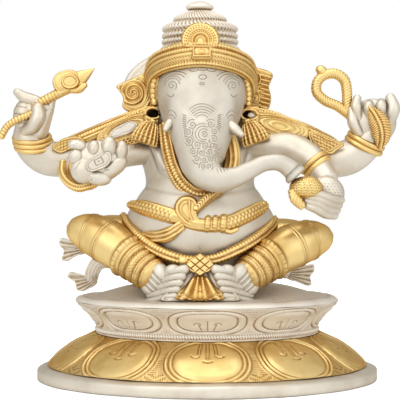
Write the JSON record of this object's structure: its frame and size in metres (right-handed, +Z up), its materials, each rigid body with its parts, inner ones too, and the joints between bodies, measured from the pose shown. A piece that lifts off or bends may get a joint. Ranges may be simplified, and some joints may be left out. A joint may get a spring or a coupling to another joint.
{
  "type": "seated deity statue",
  "caption": "Seated elephant-headed statue with four arms, a curled trunk and a tiered crown, on a round double lotus base; silver and gold plated brass.",
  "frame": {"origin": "centre of the flat round face that the base stands on", "axes": "+Z up; the statue faces -Y; its own right side is at -X"},
  "size_m": [0.2395, 0.2028, 0.2256],
  "materials": {
    "silver": "silver-plated cast brass, polished, dark patina in the engraving",
    "gold": "gold-plated cast brass, polished, brown patina in the recesses",
    "bare_brass": "bare turned brass, dull",
    "steel": "plain steel fastener"
  },
  "bodies": {
    "root": {"foot_ring": "silver", "bead_collar": "silver", "upper_lotus": "silver", "seat_plate": "silver", "torso": "silver", "head": "silver", "right_tusk": "silver", "left_tusk": "silver", "crown_tiers": "silver", "crown_finial": "silver", "halo_disc": "silver", "right_foot": "silver", "left_foot": "silver", "apron": "silver", "right_rear_arm": "silver", "left_rear_arm": "silver", "right_rear_hand": "silver", "left_rear_hand": "silver", "right_front_arm": "silver", "left_front_arm": "silver", "right_front_hand": "silver", "left_front_hand": "silver", "right_upper_sash": "silver", "right_lower_sash": "silver", "left_sash": "silver", "lower_lotus": "gold", "crown_band": "gold", "crown_plaque": "gold", "right_ear": "gold", "left_ear": "gold", "right_ear_tassel": "gold", "left_ear_tassel": "gold", "right_side_scroll": "gold", "left_side_scroll": "gold", "garland": "gold", "snake_belt": "gold", "girdle": "gold", "right_leg": "gold", "left_leg": "gold", "fan_pleat": "gold", "goad": "gold", "noose": "gold", "hand_leaf": "gold", "right_rear_bangles": "gold", "left_rear_bangles": "gold", "sweet_bowl": "gold", "right_front_bangles": "gold", "left_front_armlet": "gold", "right_shoulder_strap": "gold", "left_shoulder_strap": "gold", "base_cover": "bare_brass", "neck_pin": "bare_brass", "crown_pin": "bare_brass", "shoulder_pins": "bare_brass", "tie_stud": "steel", "tie_washer": "steel", "tie_nut": "steel"}
  },
  "joints": []
}
